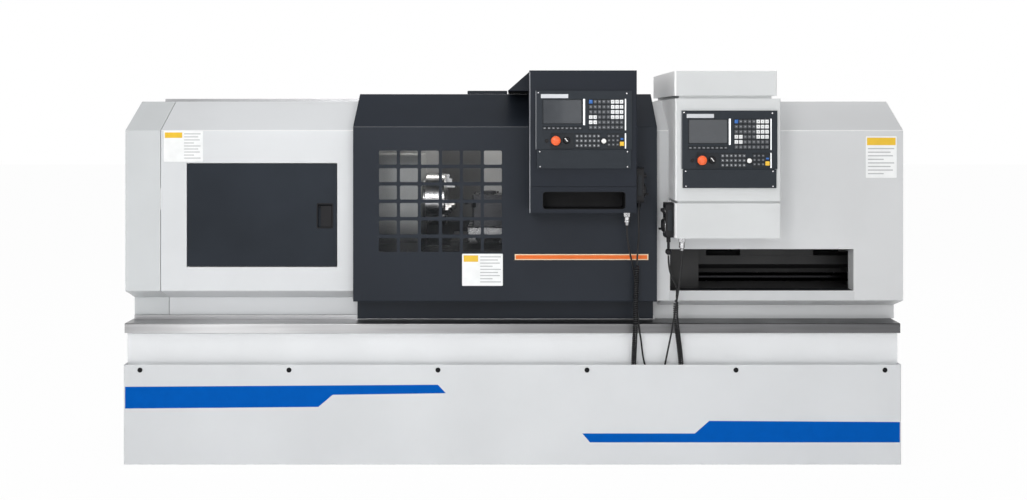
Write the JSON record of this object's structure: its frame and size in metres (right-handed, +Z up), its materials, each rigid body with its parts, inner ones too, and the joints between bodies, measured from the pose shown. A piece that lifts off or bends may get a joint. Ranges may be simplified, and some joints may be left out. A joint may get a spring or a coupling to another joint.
{
  "type": "cnc turning lathe",
  "caption": "Flat-bed turning lathe with full covers, sliding hood with a grid window, two control consoles, chuck, two carriages and tailstock on a long screwed base.",
  "frame": {"origin": "on the floor, in the middle of the machine's whole outline", "axes": "+X from the headstock to the tailstock along the spindle, -Y towards the operator, +Z up"},
  "size_m": [3.4295, 1.4803, 1.721],
  "materials": {
    "cover_paint": "satin",
    "end_paint": "satin",
    "base_paint": "satin",
    "hood_paint": "satin",
    "door_paint": "satin",
    "cabinet_paint": "satin",
    "tank_paint": "satin",
    "tray_steel": "satin",
    "casting": "satin",
    "machined_steel": "satin",
    "motor_paint": "satin",
    "foot_steel": "satin",
    "black_screw": "satin",
    "belt_rubber": "matte",
    "cord_rubber": "satin",
    "pane": "gloss",
    "lamp_plastic": "gloss",
    "fascia_plastic": "satin",
    "key_plastic": "matte",
    "black_plastic": "satin",
    "stop_orange": "gloss",
    "button_white": "gloss",
    "connector_chrome": "gloss"
  },
  "bodies": {
    "root": {"base_frame": "base_paint", "levelling_feet": "foot_steel", "front_apron": "base_paint", "apron_screws": "black_screw", "chip_tray": "tray_steel", "bed": "casting", "z_screw": "machined_steel", "headstock": "casting", "headstock_cover": "cover_paint", "end_cover": "end_paint", "rear_cover": "cover_paint", "tail_cover": "cover_paint", "hood_rails": "tray_steel", "electrical_cabinet": "cabinet_paint", "coolant_tank": "tank_paint", "spindle_motor": "motor_paint", "drive_belt": "belt_rubber", "work_lamp": "lamp_plastic", "console_a": "hood_paint", "console_b": "cover_paint", "fascia_a": "fascia_plastic", "fascia_b": "fascia_plastic", "keypads": "key_plastic", "connectors": "connector_chrome", "pendant_a": "black_plastic", "pendant_b": "black_plastic", "cord_a_leads": "cord_rubber", "cord_a_coil": "cord_rubber", "cord_b_leads": "cord_rubber", "cord_b_coil": "cord_rubber"},
    "hood": {"sliding_hood": "hood_paint", "window_pane": "pane"},
    "spindle": {"spindle": "machined_steel", "chuck_body": "machined_steel"},
    "access_door": {"access_door": "door_paint"},
    "latch_paddle": {"latch_paddle": "black_plastic"},
    "cabinet_door": {"cabinet_door": "cabinet_paint"},
    "jaw_1": {"jaw_1": "machined_steel"},
    "jaw_2": {"jaw_2": "machined_steel"},
    "jaw_3": {"jaw_3": "machined_steel"},
    "motor_pulley": {"motor_pulley": "machined_steel"},
    "carriage_a": {"carriage_a": "casting"},
    "cross_slide_a": {"cross_slide_a": "machined_steel"},
    "turret_a": {"turret_a": "machined_steel"},
    "carriage_b": {"carriage_b": "casting"},
    "cross_slide_b": {"cross_slide_b": "machined_steel"},
    "tailstock": {"tailstock": "casting"},
    "quill": {"quill": "machined_steel"},
    "e_stop_a": {"e_stop_a": "stop_orange"},
    "e_stop_b": {"e_stop_b": "stop_orange"},
    "knob_a": {"knob_a": "black_plastic"},
    "knob_b": {"knob_b": "black_plastic"},
    "cycle_button_a": {"cycle_button_a": "button_white"},
    "cycle_button_b": {"cycle_button_b": "button_white"},
    "wheel_a": {"wheel_a": "black_plastic"},
    "wheel_b": {"wheel_b": "black_plastic"},
    "axis_knob_a": {"axis_knob_a": "black_plastic"},
    "step_knob_a": {"step_knob_a": "black_plastic"},
    "axis_knob_b": {"axis_knob_b": "black_plastic"},
    "step_knob_b": {"step_knob_b": "black_plastic"}
  },
  "joints": [
    {"name": "hood_slide", "type": "slide", "parent": "root", "child": "hood", "axis": [-1, 0, 0], "range_m": [0, 1]},
    {"name": "access_door_hinge", "type": "hinge", "parent": "root", "child": "access_door", "pos_m": [-1.428, -0.475, 1.093], "axis": [0, 0, 1], "range_deg": [-110, 0]},
    {"name": "latch_flip", "type": "hinge", "parent": "access_door", "child": "latch_paddle", "pos_m": [-0.8265, -0.471, 1.131], "axis": [1, 0, 0], "range_deg": [-35, 0], "stiffness_Nm_per_rad": 0.4},
    {"name": "cabinet_door_hinge", "type": "hinge", "parent": "root", "child": "cabinet_door", "pos_m": [-1.507, 0.7213, 1.096], "axis": [0, 0, 1], "range_deg": [0, 110]},
    {"name": "spindle_spin", "type": "hinge", "parent": "root", "child": "spindle", "pos_m": [-0.43, 0, 1.13], "axis": [1, 0, 0], "continuous": true},
    {"name": "motor_spin", "type": "hinge", "parent": "root", "child": "motor_pulley", "pos_m": [-1.25, 0, 0.76], "axis": [1, 0, 0], "continuous": true},
    {"name": "jaw_1_slide", "type": "slide", "parent": "spindle", "child": "jaw_1", "axis": [0, 0, -1], "range_m": [-0.004, 0.008]},
    {"name": "jaw_2_slide", "type": "slide", "parent": "spindle", "child": "jaw_2", "axis": [0, 0.866, 0.5], "range_m": [-0.004, 0.008]},
    {"name": "jaw_3_slide", "type": "slide", "parent": "spindle", "child": "jaw_3", "axis": [0, -0.866, 0.5], "range_m": [-0.004, 0.008]},
    {"name": "carriage_a_travel", "type": "slide", "parent": "root", "child": "carriage_a", "axis": [-1, 0, 0], "range_m": [-0.45, 0.05]},
    {"name": "cross_slide_a_travel", "type": "slide", "parent": "carriage_a", "child": "cross_slide_a", "axis": [0, -1, 0], "range_m": [-0.06, 0.1]},
    {"name": "turret_index", "type": "hinge", "parent": "cross_slide_a", "child": "turret_a", "pos_m": [-0.11, -0.17, 1.09], "axis": [0, 0, 1], "continuous": true},
    {"name": "carriage_b_travel", "type": "slide", "parent": "root", "child": "carriage_b", "axis": [-1, 0, 0], "range_m": [-0.12, 0.45]},
    {"name": "cross_slide_b_travel", "type": "slide", "parent": "carriage_b", "child": "cross_slide_b", "axis": [0, -1, 0], "range_m": [-0.05, 0.1]},
    {"name": "tailstock_travel", "type": "slide", "parent": "root", "child": "tailstock", "axis": [-1, 0, 0], "range_m": [-0.15, 0.1]},
    {"name": "quill_travel", "type": "slide", "parent": "tailstock", "child": "quill", "axis": [-1, 0, 0], "range_m": [0, 0.12]},
    {"name": "e_stop_a_press", "type": "slide", "parent": "root", "child": "e_stop_a", "axis": [0, 1, 0], "range_m": [0, 0.005], "stiffness_N_per_m": 2000},
    {"name": "knob_a_turn", "type": "hinge", "parent": "root", "child": "knob_a", "pos_m": [0.227, -0.713, 1.4274], "axis": [0, -1, 0], "range_deg": [-150, 150]},
    {"name": "cycle_button_a_press", "type": "slide", "parent": "root", "child": "cycle_button_a", "axis": [0, 1, 0], "range_m": [0, 0.003], "stiffness_N_per_m": 800},
    {"name": "wheel_a_spin", "type": "hinge", "parent": "root", "child": "wheel_a", "pos_m": [0.559, -0.61, 1.21], "axis": [1, 0, 0], "continuous": true},
    {"name": "axis_knob_a_turn", "type": "hinge", "parent": "root", "child": "axis_knob_a", "pos_m": [0.559, -0.628, 1.274], "axis": [1, 0, 0], "range_deg": [-75, 75]},
    {"name": "step_knob_a_turn", "type": "hinge", "parent": "root", "child": "step_knob_a", "pos_m": [0.559, -0.592, 1.274], "axis": [1, 0, 0], "range_deg": [-45, 45]},
    {"name": "e_stop_b_press", "type": "slide", "parent": "root", "child": "e_stop_b", "axis": [0, 1, 0], "range_m": [0, 0.005], "stiffness_N_per_m": 2000},
    {"name": "knob_b_turn", "type": "hinge", "parent": "root", "child": "knob_b", "pos_m": [0.841, -0.698, 1.3444], "axis": [0, -1, 0], "range_deg": [-150, 150]},
    {"name": "cycle_button_b_press", "type": "slide", "parent": "root", "child": "cycle_button_b", "axis": [0, 1, 0], "range_m": [0, 0.003], "stiffness_N_per_m": 800},
    {"name": "wheel_b_spin", "type": "hinge", "parent": "root", "child": "wheel_b", "pos_m": [0.651, -0.61, 1.061], "axis": [-1, 0, 0], "continuous": true},
    {"name": "axis_knob_b_turn", "type": "hinge", "parent": "root", "child": "axis_knob_b", "pos_m": [0.651, -0.628, 1.125], "axis": [-1, 0, 0], "range_deg": [-75, 75]},
    {"name": "step_knob_b_turn", "type": "hinge", "parent": "root", "child": "step_knob_b", "pos_m": [0.651, -0.592, 1.125], "axis": [-1, 0, 0], "range_deg": [-45, 45]}
  ],
  "couplings": [
    {"joint": "motor_spin", "follows": "spindle_spin", "ratio": 1.5714},
    {"joint": "jaw_2_slide", "follows": "jaw_1_slide", "ratio": 1},
    {"joint": "jaw_3_slide", "follows": "jaw_1_slide", "ratio": 1}
  ]
}
